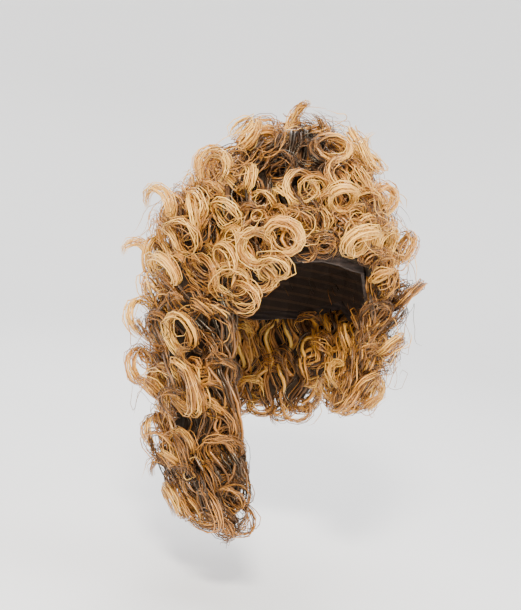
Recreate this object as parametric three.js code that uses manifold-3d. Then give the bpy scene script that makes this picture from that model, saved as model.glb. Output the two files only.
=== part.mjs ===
// A curly costume wig, dark at the roots and golden at the ends: a stretch cap with a bound
// edge, and ten sections of hair whose ringlets stand off the cap or hang below it.
// Millimetres, +Z up. The face looks along -Y, and the origin is the point inside the crown
// that rests on top of the head. Right and left are the wearer's own, so right is -X.

import * as THREE from "three";
import { mergeVertices } from "three/addons/utils/BufferGeometryUtils.js";
import Module from "manifold-3d";

const wasm = await Module();
wasm.setup();

// The head that the cap is made for
const headBreadth = 152;
const headLength = 192;
const crownHeight = 95; // from the head's widest level up to the crown

// The cap, and the band that binds its edge
const capWall = 2;
const bandHeight = 8;
const bandWall = 3;
const fitGap = 0.3; // between pieces that are sewn to each other

// Where the hair's sections meet, in degrees round from the crown
const topEndFall = 36;
const hangStartFall = 74;
const widestFall = 90; // the head's widest level, where hanging hair leaves it

// Below the head's widest level the hanging hair follows the head in this far, then drops
const tuckDepth = 24;

// The hair without its ringlets
const hairThickness = 60; // where it is thickest, on top
const hairLength = 330; // from the crown down to the longest section's foot

// Ringlets. A lock is a flat bundle of hair, widest halfway along and narrow at its tip.
const curlRadius = 17;
const curlTurns = 1.5;
const curlReach = 20; // how far a ringlet stands straight off the hair
const curlLean = 11; // how far it then tips outwards
const lockWidth = 13;
const lockThickness = 9;
const lockTipShare = 0.4;
const curlVariation = 0.15; // how much each ringlet's sizes differ, up and down, as a share
const rowScatter = 0.3; // how far ringlets stray along their row, as a share of their spacing
const rootDepth = 6; // how deep a lock starts inside the hair under it
const windShare = 0.3; // of a lock, over which its turns open to their full radius
const taperShare = 0.18; // of a lock, over which it fills out at its root and thins at its tip

// The hair under the ringlets rises and falls in lumps, and thins at its free edges
const lumpHeight = 8;
const thinningShare = 0.35; // of a section's width, over which it thins to a free edge
const footShare = 0.15; // of a hanging section's length, over which it thins to its foot
const footRound = 0.08; // how much shorter a hanging section is at its sides, as a share
const thinDepth = 0.35; // the share of its depth that is left there

// How finely curves are divided
const capColumns = 24;
const capRows = 5;
const lockFacetsPerTurn = 6;
const facetsPerLump = 2;
const cornerTolerance = 0.002; // corners closer than this are one

// The cap's edge: how far round from the crown it lies at each bearing, in degrees.
// A bearing is 0 at the face, 90 over the left ear and 180 at the nape, alike on both sides.
const edgeLine = [
  { bearing: 0, fall: 60 },
  { bearing: 44, fall: 66 },
  { bearing: 70, fall: 92 },
  { bearing: 84, fall: 102 }, // the tab before the ear
  { bearing: 104, fall: 95 },
  { bearing: 140, fall: 108 },
  { bearing: 180, fall: 113 },
];

// The hair's sections. Bearings run from the face round to the wearer's left (+) or right (-).
// fall: where a section starts and ends on the cap, in degrees from the crown.
// depth: how thick the hair is at its top and its foot, as shares of hairThickness.
// lumps: how many across and down. curl: the size of its ringlets, as a share of curlRadius,
// curlReach and curlLean. drop: how far they sink, as a share of curlRadius. rings: its rows
// of ringlets, and within: the part of its width that a row keeps to. foot: how far below the
// crown a hanging section ends, and side and front: how far its foot swings, all as shares of
// hairLength. free: which of its bearings is a free edge.
const sections = [
  {
    name: "top_curls", bearings: [-180, 180], fall: [0, topEndFall],
    depth: [1, 0.73], lumps: [6, 2], curl: 1, drop: -0.2,
    rings: [{ down: 0.04, count: 1 }, { down: 0.62, count: 5 }],
  },
  {
    name: "fringe_curls", bearings: [-80, 26], fall: [topEndFall, hangStartFall],
    depth: [0.67, 0.27], lumps: [4, 2], curl: 0.88, drop: 0.6,
    rings: [
      { down: 0.1, count: 3 }, { down: 0.8, count: 3 }, { down: 0.98, count: 2, within: [0.1, 0.44] },
    ],
  },
  {
    name: "left_temple_curls", bearings: [26, 82], fall: [topEndFall, hangStartFall],
    depth: [0.63, 0.37], lumps: [2, 2], curl: 0.88, drop: 0.6,
    rings: [{ down: 0.1, count: 1 }, { down: 0.7, count: 2 }],
  },
  {
    name: "right_upper_curls", bearings: [-136, -80], fall: [topEndFall, hangStartFall],
    depth: [0.7, 0.77], lumps: [2, 2], curl: 1, drop: 0.5,
    rings: [{ down: 0.12, count: 2 }, { down: 0.7, count: 2 }],
  },
  {
    name: "left_upper_curls", bearings: [82, 136], fall: [topEndFall, hangStartFall],
    depth: [0.63, 0.53], lumps: [2, 2], curl: 0.94, drop: 0.5,
    rings: [{ down: 0.12, count: 1 }, { down: 0.7, count: 2 }],
  },
  {
    name: "back_upper_curls", bearings: [136, 224], fall: [topEndFall, hangStartFall],
    depth: [0.7, 0.63], lumps: [4, 2], curl: 1, drop: 0.6,
    rings: [{ down: 0.12, count: 2 }, { down: 0.7, count: 3 }],
  },
  {
    name: "right_fall", bearings: [-132, -62], fall: [hangStartFall, widestFall],
    depth: [0.8, 0.83], lumps: [3, 5], curl: 1, drop: 0.7,
    foot: 1, side: 0.1, front: -0.09, free: "end",
    rings: [
      { down: 0.06, count: 2 }, { down: 0.27, count: 2 }, { down: 0.48, count: 3 },
      { down: 0.7, count: 2 }, { down: 0.92, count: 3 },
    ],
  },
  {
    name: "left_fall", bearings: [60, 128], fall: [hangStartFall, widestFall],
    depth: [0.5, 0.67], lumps: [3, 3], curl: 0.94, drop: 0.7,
    foot: 0.6, side: -0.06, front: -0.04, free: "start",
    rings: [{ down: 0.1, count: 2 }, { down: 0.48, count: 2 }, { down: 0.88, count: 3 }],
  },
  {
    name: "back_right_fall", bearings: [180, 228], fall: [hangStartFall, widestFall],
    depth: [0.63, 0.5], lumps: [2, 3], curl: 1, drop: 0.8,
    foot: 0.8, side: 0, front: 0,
    rings: [{ down: 0.14, count: 2 }, { down: 0.5, count: 2 }, { down: 0.88, count: 2 }],
  },
  {
    name: "back_left_fall", bearings: [128, 180], fall: [hangStartFall, widestFall],
    depth: [0.63, 0.5], lumps: [2, 3], curl: 1, drop: 0.8,
    foot: 0.72, side: 0, front: 0,
    rings: [{ down: 0.16, count: 2 }, { down: 0.52, count: 2 }, { down: 0.88, count: 2 }],
  },
];

const radians = THREE.MathUtils.degToRad;
const degrees = THREE.MathUtils.radToDeg;
const mix = THREE.MathUtils.lerp;
const ease = (x) => THREE.MathUtils.smoothstep(x, 0, 1);
const capDegrees = (length) => degrees(length / crownHeight);
const capLength = (angle) => crownHeight * radians(angle);

// A repeatable number from 0 to 1 for lock n
const shuffled = (n) => {
  const x = Math.sin(n * 12.9898 + 4.1414) * 43758.5453;
  return x - Math.floor(x);
};

// The fall of the cap's edge at a bearing, eased between the rows of edgeLine
function edgeFall(bearing) {
  const turned = Math.abs(((bearing + 540) % 360) - 180);
  const next = Math.max(1, edgeLine.findIndex((row) => row.bearing >= turned));
  const [before, after] = [edgeLine[next - 1], edgeLine[next]];
  const share = (turned - before.bearing) / (after.bearing - before.bearing);
  return mix(before.fall, after.fall, ease(share));
}

// The point at a depth over the head, at a bearing and a fall from the crown
function onHead(bearing, fall, depth) {
  const [turn, tip] = [radians(bearing), radians(fall)];
  return new THREE.Vector3(
    (headBreadth / 2 + depth) * Math.sin(tip) * Math.sin(turn),
    -(headLength / 2 + depth) * Math.sin(tip) * Math.cos(turn),
    -crownHeight + (crownHeight + depth) * Math.cos(tip),
  );
}

// How far a section hangs down below the head's widest level
const hangingLength = (section) => (section.foot ? section.foot * hairLength - crownHeight : 0);

// How long a section is, from its start on the cap to its end or its foot
function sectionLength(section) {
  return capLength(section.fall[1] - section.fall[0]) + hangingLength(section);
}

// A point of a section: across it from 0 to 1, down it from 0 to 1, at a depth over the head
function inSection(section, across, down, depth) {
  const bearing = mix(section.bearings[0], section.bearings[1], across);
  const [first, last] = section.fall;
  if (!section.foot) return onHead(bearing, mix(first, Math.min(last, edgeFall(bearing)), down), depth);
  const along = down * sectionLength(section) * (1 - footRound * (2 * across - 1) ** 2);
  const onCap = capLength(last - first);
  if (along < onCap) return onHead(bearing, mix(first, last, along / onCap), depth);
  const under = along - onCap;
  const tuck = Math.sqrt(1 - (Math.min(under, tuckDepth) / crownHeight) ** 2);
  const swing = hairLength * ease((under - tuckDepth) / (hangingLength(section) - tuckDepth));
  const point = onHead(bearing, last, depth);
  return point.set(
    point.x * tuck + section.side * swing,
    point.y * tuck + section.front * swing,
    point.z - under,
  );
}

// How deep a section's hair is at a place, without its ringlets
function hairDepth(section, across, down) {
  const lump = Math.sin(across * Math.PI * section.lumps[0]) * Math.sin(down * Math.PI * section.lumps[1]);
  const fromFree = section.free === "start" ? across : 1 - across;
  const atEdge = section.free ? ease(fromFree / thinningShare) : 1;
  const atFoot = section.foot ? ease((1 - down) / footShare) : 1;
  const depth = hairThickness * mix(section.depth[0], section.depth[1], down) + lumpHeight * lump;
  return depth * mix(thinDepth, 1, atEdge) * mix(thinDepth, 1, atFoot);
}

// The closed solid that a geometry bounds
function solidOf(geometry) {
  return new wasm.Manifold(new wasm.Mesh({
    numProp: 3,
    vertProperties: geometry.attributes.position.array,
    triVerts: new Uint32Array(geometry.index.array),
  }));
}

// A plain geometry's closed solid, with each of its corners moved to where place puts it
function bentSolid(geometry, place) {
  geometry.deleteAttribute("normal");
  geometry.deleteAttribute("uv");
  const merged = mergeVertices(geometry);
  const corners = merged.attributes.position;
  for (let i = 0; i < corners.count; i += 1) {
    corners.setXYZ(i, ...place(corners.getX(i), corners.getY(i), corners.getZ(i)));
  }
  return solidOf(merged);
}

// A flat disc or ring, turned from half its section and bent onto the head. Each row of the
// outline is [share, depth]: share 1 is the cap's edge, and 2 is a band's height past it.
function domeSolid(outline) {
  const points = outline.map(([share, depth]) => new THREE.Vector2(share, depth));
  return bentSolid(new THREE.LatheGeometry(points, capColumns), (x, depth, z) => {
    const bearing = degrees(Math.atan2(x, z));
    const share = Math.hypot(x, z);
    const past = Math.max(0, share - 1) * capDegrees(bandHeight);
    return onHead(bearing, Math.min(share, 1) * edgeFall(bearing) + past, depth);
  });
}

const capShares = Array.from({ length: capRows + 1 }, (_, i) => i / capRows);

function capSolid() {
  return domeSolid([
    ...capShares.map((share) => [share, 0]),
    ...capShares.map((share) => [share, capWall]).reverse(),
  ]);
}

function bandSolid() {
  const start = 1 + fitGap / bandHeight;
  return domeSolid([[start, 0], [2, 0], [2, bandWall], [start, bandWall], [start, 0]]);
}

// The cap, its band and the head in them, with room to spare: hair is cut clear of it
function blankSolid() {
  const inside = -crownHeight / 2;
  const end = 2 + fitGap / bandHeight;
  return domeSolid([
    [0, inside], [end, inside],
    [end, bandWall + fitGap], [1, bandWall + fitGap],
    ...capShares.map((share) => [share, capWall + fitGap]).reverse(),
  ]);
}

// The hair under a section's ringlets, with room added on every side
function massSolid(section, room) {
  const width = section.bearings[1] - section.bearings[0];
  const sideSeam = capDegrees(fitGap - room) / width;
  const [topSeam, footRoom] = [fitGap - room, room].map((gap) => gap / sectionLength(section));
  const under = section.foot ? capWall + fitGap : capWall / 2;
  const [columns, rows] = section.lumps.map((count) => count * facetsPerLump);
  return bentSolid(new THREE.BoxGeometry(1, 1, 1, columns, 1, rows), (x, y, z) => {
    const across = mix(sideSeam, 1 - sideSeam, x + 0.5);
    const down = mix(topSeam, 1 + footRoom, z + 0.5);
    const over = hairDepth(section, across, down) + room;
    return inSection(section, across, down, y > 0 ? over : under - room);
  });
}

// The hair on top goes all the way round, so it is turned from a disc
function topMassSolid(section, room) {
  const [columns, rows] = section.lumps.map((count) => count * facetsPerLump);
  const shares = Array.from({ length: rows + 1 }, (_, i) => i / rows);
  const outline = [
    ...shares.map((share) => new THREE.Vector2(share, 0)),
    ...shares.map((share) => new THREE.Vector2(share, 1)).reverse(),
  ];
  const grown = 1 + room / sectionLength(section);
  return bentSolid(new THREE.LatheGeometry(outline, columns), (x, y, z) => {
    const across = Math.atan2(x, z) / (2 * Math.PI) + 0.5;
    const down = Math.hypot(x, z) * grown;
    const over = hairDepth(section, across, down) + room;
    return inSection(section, across, down, y > 0 ? over : capWall / 2);
  });
}

// A ringlet's line: an axis that leaves its root and droops, and turns wound round that axis.
// Each ringlet's number sets its sizes, its lean and which way it turns.
class Ringlet extends THREE.Curve {
  constructor(section, across, down, number) {
    super();
    const { curl, drop } = section;
    const varied = (size, step) => size * (1 + curlVariation * (2 * shuffled(number + step) - 1));
    const turn = radians(mix(section.bearings[0], section.bearings[1], across));
    const surface = hairDepth(section, across, down);
    const root = inSection(section, across, down, surface - rootDepth);
    const out = inSection(section, across, down, surface).sub(root).normalize();
    const knee = root.clone().addScaledVector(out, varied(curl * curlReach, 0));
    const lean = curl * curlLean;
    const sideways = curl * curlRadius * (shuffled(number + 0.3) - 0.5);
    const tip = knee.clone().add(new THREE.Vector3(
      lean * Math.sin(turn) + sideways * Math.cos(turn),
      -lean * Math.cos(turn) + sideways * Math.sin(turn),
      -varied(drop * curlRadius, 0.6),
    ));
    this.axis = new THREE.QuadraticBezierCurve3(root, knee, tip);
    this.cross = out.clone().cross(tip.clone().sub(knee)).normalize();
    this.radius = varied(curl * curlRadius, 0.1);
    this.turns = number % 2 ? curlTurns : -curlTurns;
    this.start = shuffled(number + 0.8) * 2 * Math.PI;
  }

  // The direction from the axis out to the lock, at t from 0 to 1
  spoke(t) {
    const up = new THREE.Vector3().crossVectors(this.cross, this.axis.getTangent(t));
    const angle = this.start + this.turns * 2 * Math.PI * t;
    return up.multiplyScalar(Math.cos(angle)).addScaledVector(this.cross, Math.sin(angle));
  }

  getPoint(t) {
    return this.axis.getPoint(t).addScaledVector(this.spoke(t), this.radius * ease(t / windShare));
  }
}

// The lock along a ringlet's line, with room added on every side
function lockSolid(ringlet, room) {
  const outline = new THREE.Shape();
  outline.moveTo(1, 0).lineTo(0, 1).lineTo(-1, 0).lineTo(0, -1);
  const steps = Math.ceil(curlTurns * lockFacetsPerTurn);
  const bar = new THREE.ExtrudeGeometry(outline, { depth: 1, steps, bevelEnabled: false });
  return bentSolid(bar, (x, y, t) => {
    const tangent = ringlet.getTangent(t);
    const out = ringlet.spoke(t);
    out.addScaledVector(tangent, -out.dot(tangent)).normalize();
    const side = new THREE.Vector3().crossVectors(tangent, out);
    const share = mix(lockTipShare, 1, ease(Math.min(t, 1 - t) / taperShare));
    return ringlet.getPoint(t)
      .addScaledVector(out, x * ((lockThickness / 2) * share + room))
      .addScaledVector(side, y * ((lockWidth / 2) * share + room));
  });
}

// Every ringlet of a section, row by row
function ringletsOf(section, sectionNumber) {
  return section.rings.flatMap(({ down, count, within = [0, 1] }, row) =>
    Array.from({ length: count }, (_, i) => {
      const number = sectionNumber * 40 + row * 10 + i;
      const along = (i + 0.5 + rowScatter * (shuffled(number + 0.4) - 0.5)) / count;
      return new Ringlet(section, mix(...within, along), down, number);
    }));
}

const joined = (solids) => solids.reduce((all, next) => all.add(next));
const without = (solid, cutters) => cutters.reduce((left, cutter) => left.subtract(cutter), solid);

function geometryOf(solid) {
  const { vertProperties, triVerts } = solid.getMesh();
  const geometry = new THREE.BufferGeometry();
  geometry.setAttribute("position", new THREE.BufferAttribute(vertProperties, 3));
  geometry.setIndex(new THREE.BufferAttribute(triVerts, 1));
  return mergeVertices(geometry, cornerTolerance);
}

// A named piece: the solid without the loose ends that its cuts leave
function meshOf(name, solid, material) {
  const [largest] = solidOf(geometryOf(solid)).decompose().sort((a, b) => b.volume() - a.volume());
  const geometry = geometryOf(largest);
  geometry.computeVertexNormals();
  const mesh = new THREE.Mesh(geometry, material);
  mesh.name = name;
  return mesh;
}

const netMaterial = new THREE.MeshStandardMaterial({ color: 0x2b1c14, roughness: 0.9 });
const bandMaterial = new THREE.MeshStandardMaterial({ color: 0x1d1512, roughness: 0.8 });
const hairMaterial = new THREE.MeshStandardMaterial({ color: 0xb98449, roughness: 0.45 });

const wig = new THREE.Group();
wig.add(meshOf("cap_net", capSolid(), netMaterial));
wig.add(meshOf("edge_band", bandSolid(), bandMaterial));

const blank = blankSolid();
const ringlets = sections.map(ringletsOf);
const massOf = (section, room) => (section.fall[0] === 0 ? topMassSolid : massSolid)(section, room);
const locksOf = (group, room) => joined(group.map((ringlet) => lockSolid(ringlet, room)));
const massRooms = sections.map((section) => massOf(section, fitGap));
const lockRooms = ringlets.map((group) => locksOf(group, fitGap));
sections.forEach((section, i) => {
  const otherLocks = lockRooms.filter((_, k) => k !== i);
  const mass = without(massOf(section, 0), [...otherLocks, ...massRooms.slice(0, i)]);
  const locks = without(locksOf(ringlets[i], 0), lockRooms.slice(0, i));
  wig.add(meshOf(section.name, mass.add(locks).subtract(blank), hairMaterial));
});

export default wig;
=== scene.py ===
import math

import bmesh
import bpy
from mathutils import Matrix, Vector


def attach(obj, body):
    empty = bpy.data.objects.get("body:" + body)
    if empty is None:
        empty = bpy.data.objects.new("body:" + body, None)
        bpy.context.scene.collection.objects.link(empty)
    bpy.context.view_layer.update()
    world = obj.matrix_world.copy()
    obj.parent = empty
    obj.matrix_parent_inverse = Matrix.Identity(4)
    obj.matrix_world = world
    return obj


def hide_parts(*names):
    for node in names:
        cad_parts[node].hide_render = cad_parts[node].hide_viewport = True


# A long curly wig, dark at its roots and golden at its ends, held up in the form it has when worn.
# Metres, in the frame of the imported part: the face looks along -Y, right and left are the wearer's.

print("load the packed wig")
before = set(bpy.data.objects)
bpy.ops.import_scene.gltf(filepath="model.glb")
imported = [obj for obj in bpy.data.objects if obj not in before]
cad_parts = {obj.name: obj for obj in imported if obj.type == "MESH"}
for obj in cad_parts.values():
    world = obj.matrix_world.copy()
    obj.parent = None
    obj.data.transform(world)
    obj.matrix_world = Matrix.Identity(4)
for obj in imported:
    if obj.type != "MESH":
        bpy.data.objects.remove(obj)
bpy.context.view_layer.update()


# Nodes and sums

class Wire:
    # a socket in a node tree, which can be used in sums
    def __init__(self, tree, socket=None):
        self.tree = tree
        self.socket = socket

    def put(self, kind, settings=None, inputs=None, output=0):
        # adds a node: its settings first, then the values or links of its sockets
        node = self.tree.nodes.new(kind)
        for name, value in (settings or {}).items():
            if name == "stops":
                ramp = node.color_ramp
                while len(ramp.elements) < len(value):
                    ramp.elements.new(1)
                for element, (place, colour) in zip(ramp.elements, value):
                    element.position = place
                    element.color = (*colour, 1)
            else:
                setattr(node, name, value)
        for name, value in (inputs or {}).items():
            if isinstance(value, Wire):
                value.into(node.inputs[name])
            else:
                node.inputs[name].default_value = value
        return Wire(self.tree, node.outputs[output])

    def into(self, socket):
        self.tree.links.new(self.socket, socket)

    def out(self, name):
        # another output of the same node
        return Wire(self.tree, self.socket.node.outputs[name])

    def maths(self, operation, *values):
        return self.put("ShaderNodeMath", {"operation": operation}, dict(enumerate(values)))

    def vectorMaths(self, operation, *values, output=0):
        return self.put("ShaderNodeVectorMath", {"operation": operation}, dict(enumerate(values)), output)

    def __add__(self, other):
        return self.maths("ADD", self, other)

    def __radd__(self, other):
        return self.maths("ADD", other, self)

    def __sub__(self, other):
        return self.maths("SUBTRACT", self, other)

    def __rsub__(self, other):
        return self.maths("SUBTRACT", other, self)

    def __mul__(self, other):
        return self.maths("MULTIPLY", self, other)

    def __rmul__(self, other):
        return self.maths("MULTIPLY", other, self)

    def __truediv__(self, other):
        return self.maths("DIVIDE", self, other)


def mix(a, b, share):
    return a + (b - a) * share


def clamp(x, low=0, high=1):
    return max(low, min(high, x))


def ease(x):
    x = clamp(x)
    return x * x * (3 - 2 * x)


def shuffled(n):
    # a repeatable number from 0 to 1 for lock n; a decimal added to n gives another draw
    x = math.sin(n * 12.9898 + 4.1414) * 43758.5453
    return x - math.floor(x)


# The head, and the sections of hair round it, as in the part's source

wigSizes = {
    "headBreadth": 0.152, "headLength": 0.192, "crownHeight": 0.095,
    "capWall": 0.002, "tuckDepth": 0.024, "hairThickness": 0.06, "hairLength": 0.33,
    "curlRadius": 0.017, "curlTurns": 1.5, "curlReach": 0.02, "curlLean": 0.011,
    "lockWidth": 0.013, "lockThickness": 0.009, "lockTipShare": 0.4, "rootDepth": 0.006,
    "windShare": 0.3, "taperShare": 0.18, "curlVariation": 0.15, "rowScatter": 0.3,
    "lumpHeight": 0.008, "thinningShare": 0.35, "footShare": 0.15, "footRound": 0.08, "thinDepth": 0.35,
}
capEdge = [(0, 60), (44, 66), (70, 92), (84, 102), (104, 95), (140, 108), (180, 113)]  # bearing, fall
# what the locks need besides, and how golden they are
lockSizes = {
    "middle": 0.04, "tiltStep": 0.02, "steps": 18, "ringletSteps": 20,
    "gold": 0.8, "ringletGold": 0.95, "toneScatter": 0.34,
}


def edgeFall(bearing):
    # how far down the cap's edge is
    turned = abs((bearing + 540) % 360 - 180)
    after = next(i for i, row in enumerate(capEdge) if i and row[0] >= turned)
    (b0, f0), (b1, f1) = capEdge[after - 1], capEdge[after]
    return mix(f0, f1, ease((turned - b0) / (b1 - b0)))


def onHead(bearing, fall, depth):
    # a point outside the head, at angles round it and down from its top
    turn, tip = math.radians(bearing), math.radians(fall)
    breadth, length, height = (wigSizes[k] for k in ("headBreadth", "headLength", "crownHeight"))
    return Vector((
        (breadth / 2 + depth) * math.sin(tip) * math.sin(turn),
        -(length / 2 + depth) * math.sin(tip) * math.cos(turn),
        -height + (height + depth) * math.cos(tip),
    ))


def capLength(angle):
    return wigSizes["crownHeight"] * math.radians(angle)


def hangingLength(section):
    return section["foot"] * wigSizes["hairLength"] - wigSizes["crownHeight"] if "foot" in section else 0


def sectionLength(section):
    return capLength(section["fall"][1] - section["fall"][0]) + hangingLength(section)


def sectionWidth(section):
    # round the head, halfway out through the hair
    first, last = section["bearings"]
    return (wigSizes["headBreadth"] / 2 + lockSizes["middle"]) * math.radians(last - first)


def inSection(section, across, down, depth):
    # a point of a section: across and down run from 0 to 1, and depth is the height over the head
    bearing = mix(*section["bearings"], across)
    first, last = section["fall"]
    if "foot" not in section:
        return onHead(bearing, mix(first, min(last, edgeFall(bearing)), down), depth)
    along = down * sectionLength(section) * (1 - wigSizes["footRound"] * (2 * across - 1) ** 2)
    onCap = capLength(last - first)
    if along < onCap:
        return onHead(bearing, mix(first, last, along / onCap), depth)
    under, tuckDepth = along - onCap, wigSizes["tuckDepth"]
    tuck = math.sqrt(1 - (min(under, tuckDepth) / wigSizes["crownHeight"]) ** 2)
    swing = wigSizes["hairLength"] * ease((under - tuckDepth) / (hangingLength(section) - tuckDepth))
    point = onHead(bearing, last, depth)
    return Vector((
        point.x * tuck + section["side"] * swing,
        point.y * tuck + section["front"] * swing,
        point.z - under,
    ))


def hairDepth(section, across, down):
    lumps = section["lumps"]
    lump = math.sin(across * math.pi * lumps[0]) * math.sin(down * math.pi * lumps[1])
    free = section.get("free")
    atEdge = ease((across if free == "start" else 1 - across) / wigSizes["thinningShare"]) if free else 1
    atFoot = ease((1 - down) / wigSizes["footShare"]) if "foot" in section else 1
    depth = wigSizes["hairThickness"] * mix(*section["depth"], down) + wigSizes["lumpHeight"] * lump
    return depth * mix(wigSizes["thinDepth"], 1, atEdge) * mix(wigSizes["thinDepth"], 1, atFoot)


# Paths that locks follow: each point has its place, half thickness and half width

def lockFrame(points, outs, t, steps, half):
    # the two directions across a lock at step t, scaled by its half sizes
    before, after = points[max(t - 1, 0)], points[min(t + 1, steps)]
    tangent = (after - before).normalized()
    out = (outs[t] - tangent * outs[t].dot(tangent)).normalized()
    return out * half[0], tangent.cross(out) * half[1]


def framedPath(points, outs, halves, light):
    steps = len(points) - 1
    path = []
    for t, point in enumerate(points):
        outHalf, sideHalf = lockFrame(points, outs, t, steps, halves[t])
        path.append((point, outHalf, sideHalf, t / steps, light))
    return path


def sectionTone(section, across, down):
    # how golden a section is, mixed from its four corners: above and below, at its start and its end
    startTop, startFoot, endTop, endFoot = section.get("tones", (1, 1, 1, 1))
    down = clamp(down)
    return mix(mix(startTop, startFoot, down), mix(endTop, endFoot, down), clamp(across))


def curlPath(section, across, down, number, size=1, stand=1, tilt=0, gold=lockSizes["gold"], inward=False,
             steps=lockSizes["steps"]):
    # a ringlet: an axis that leaves its root and droops, and turns wound round that axis
    def varied(length, step):
        return length * (1 + wigSizes["curlVariation"] * (2 * shuffled(number + step) - 1))

    curl = section["curl"] * size
    turn = math.radians(mix(*section["bearings"], across))
    surface = hairDepth(section, across, down)
    root = inSection(section, across, down, surface - wigSizes["rootDepth"])
    out = (inSection(section, across, down, surface) - root).normalized()
    if inward:
        root, out = inSection(section, across, down, wigSizes["capWall"] + wigSizes["rootDepth"]), -out
        turn += math.pi
    if tilt:
        step = lockSizes["tiltStep"]
        before, after = (inSection(section, across + shift, down, surface) for shift in (-step, step))
        out = (out + (after - before).normalized() * tilt).normalized()
    knee = root + out * varied(curl * stand * wigSizes["curlReach"], 0)
    lean = curl * wigSizes["curlLean"]
    sideways = curl * wigSizes["curlRadius"] * (shuffled(number + 0.3) - 0.5)
    tip = knee + Vector((
        lean * math.sin(turn) + sideways * math.cos(turn),
        -lean * math.cos(turn) + sideways * math.sin(turn),
        -varied(section["drop"] * size * wigSizes["curlRadius"], 0.6),
    ))
    cross = out.cross(tip - knee).normalized()
    radius = varied(curl * wigSizes["curlRadius"], 0.1)
    turns = wigSizes["curlTurns"] * (1 if number % 2 else -1)
    start = shuffled(number + 0.8) * 2 * math.pi
    points, outs, halves = [], [], []
    for i in range(steps + 1):
        t = i / steps
        axis = root * (1 - t) ** 2 + knee * 2 * t * (1 - t) + tip * t ** 2
        along = ((knee - root) * (1 - t) + (tip - knee) * t).normalized()
        angle = start + turns * 2 * math.pi * t
        spoke = cross.cross(along) * math.cos(angle) + cross * math.sin(angle)
        share = mix(wigSizes["lockTipShare"], 1, ease(min(t, 1 - t) / wigSizes["taperShare"])) * size
        points.append(axis + spoke * radius * ease(t / wigSizes["windShare"]))
        outs.append(spoke)
        halves.append((wigSizes["lockThickness"] / 2 * share, wigSizes["lockWidth"] / 2 * share))
    tone = gold * sectionTone(section, across, down)
    return framedPath(points, outs, halves, tone + lockSizes["toneScatter"] * (shuffled(number + 0.15) - 0.5))


waveSizes = {
    "sway": 0.008, "lift": 0.003, "thickness": 0.005, "width": 0.012, "light": 0.6,
    "cap": {"turns": 1.6, "steps": 16}, "hanging": {"turns": 3, "steps": 28},
    "turnRange": (0.8, 1.3), "past": 0.06, "lining": 0.004, "endShare": 0.5, "taperShare": 0.15,
    "toneAt": 0.6, "innerTone": 1.1, "toneRange": (0.4, 1.1), "outStep": 0.01,
}


def wavePath(section, across, span, level, number):
    # a wavy lock in the hair under the ringlets: level 0 is its inside and 1 is its outside
    wave = waveSizes["hanging" if "foot" in section else "cap"]
    turns = wave["turns"] * mix(*waveSizes["turnRange"], shuffled(number + 0.9))
    sway, past = waveSizes["sway"] / sectionWidth(section), waveSizes["past"]
    points, outs, halves, steps = [], [], [], wave["steps"]
    for i in range(steps + 1):
        t = i / steps
        down = mix(*span, t)
        phase = 2 * math.pi * (turns * t + shuffled(number))
        place = clamp(across + sway * math.sin(phase), -past, 1 + past)
        lining = wigSizes["capWall"] + waveSizes["lining"]
        depth = mix(lining, hairDepth(section, clamp(place), clamp(down)), level)
        depth += waveSizes["lift"] * math.cos(phase)
        point = inSection(section, place, down, depth)
        points.append(point)
        outs.append((inSection(section, place, down, depth + waveSizes["outStep"]) - point).normalized())
        share = mix(waveSizes["endShare"], 1, ease(min(t, 1 - t) / waveSizes["taperShare"]))
        halves.append((waveSizes["thickness"] / 2 * share, waveSizes["width"] / 2 * share))
    outer = sectionTone(section, across, mix(*span, waveSizes["toneAt"]))
    tone = waveSizes["light"] * (outer if level > 0 else waveSizes["innerTone"])
    return framedPath(points, outs, halves, tone * mix(*waveSizes["toneRange"], shuffled(number + 0.15)))


straySizes = {
    "steps": 20, "length": 0.04, "lengthRange": (0.6, 1.2), "rootDepth": 0.004, "outSpan": (0.02, 0.1),
    "turnRange": (0.7, 1.7), "sway": 0.45, "rise": 0.8, "arc": 1.5, "sag": 0.3, "half": 0.0015,
    "toneRange": (0.5, 1.0), "level": 0.1,
}


def strayPath(section, across, down, number):
    # a loose strand that leaves the hair and wanders
    root = inSection(section, across, down, hairDepth(section, across, down) - straySizes["rootDepth"])
    low, high = (inSection(section, across, down, depth) for depth in straySizes["outSpan"])
    out = (high - low).normalized()
    side = out.cross(Vector((0, 0, 1)))
    side = side.normalized() if side.length > straySizes["level"] else Vector((1, 0, 0))
    up = side.cross(out)
    length = straySizes["length"] * mix(*straySizes["lengthRange"], shuffled(number + 0.2))
    heading = shuffled(number + 0.5) * 2 * math.pi
    turn = 2 * math.pi * mix(*straySizes["turnRange"], shuffled(number + 0.7)) * (1 if number % 2 else -1)
    points, steps = [], straySizes["steps"]
    for i in range(steps + 1):
        t = i / steps
        bend = heading + turn * t
        sway = (side * math.cos(bend) + up * math.sin(bend)) * length * straySizes["sway"] * t
        rise = out * length * straySizes["rise"] * math.sin(t * straySizes["arc"])
        points.append(root + rise + sway - Vector((0, 0, length * straySizes["sag"] * t * t)))
    outs, halves = [side] * (steps + 1), [(straySizes["half"], straySizes["half"])] * (steps + 1)
    return framedPath(points, outs, halves, mix(*straySizes["toneRange"], shuffled(number + 0.15)))


# The tree that turns a path into ribbons and strands of hair

# a lock's cell in the map starts at a margin and fills a share; the hair's base has the strip over them
colourMap = {
    "columns": 64, "rows": 28, "height": 0.93, "margin": (0.1, 0.05), "share": (0.8, 0.9),
    "base": (0.94, 0.055),
}
lockStyle = {
    "clumping": 0.8, "rootSpread": 0.8, "tipSpread": 0.4, "frizzScale": 55, "frizzShift": 1.7,
    "rootFrizz": 0.3, "strandFrizz": 2, "taper": 7, "tip": 0.03, "leastSize": 0.7, "sizeSpan": 0.6,
}


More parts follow.
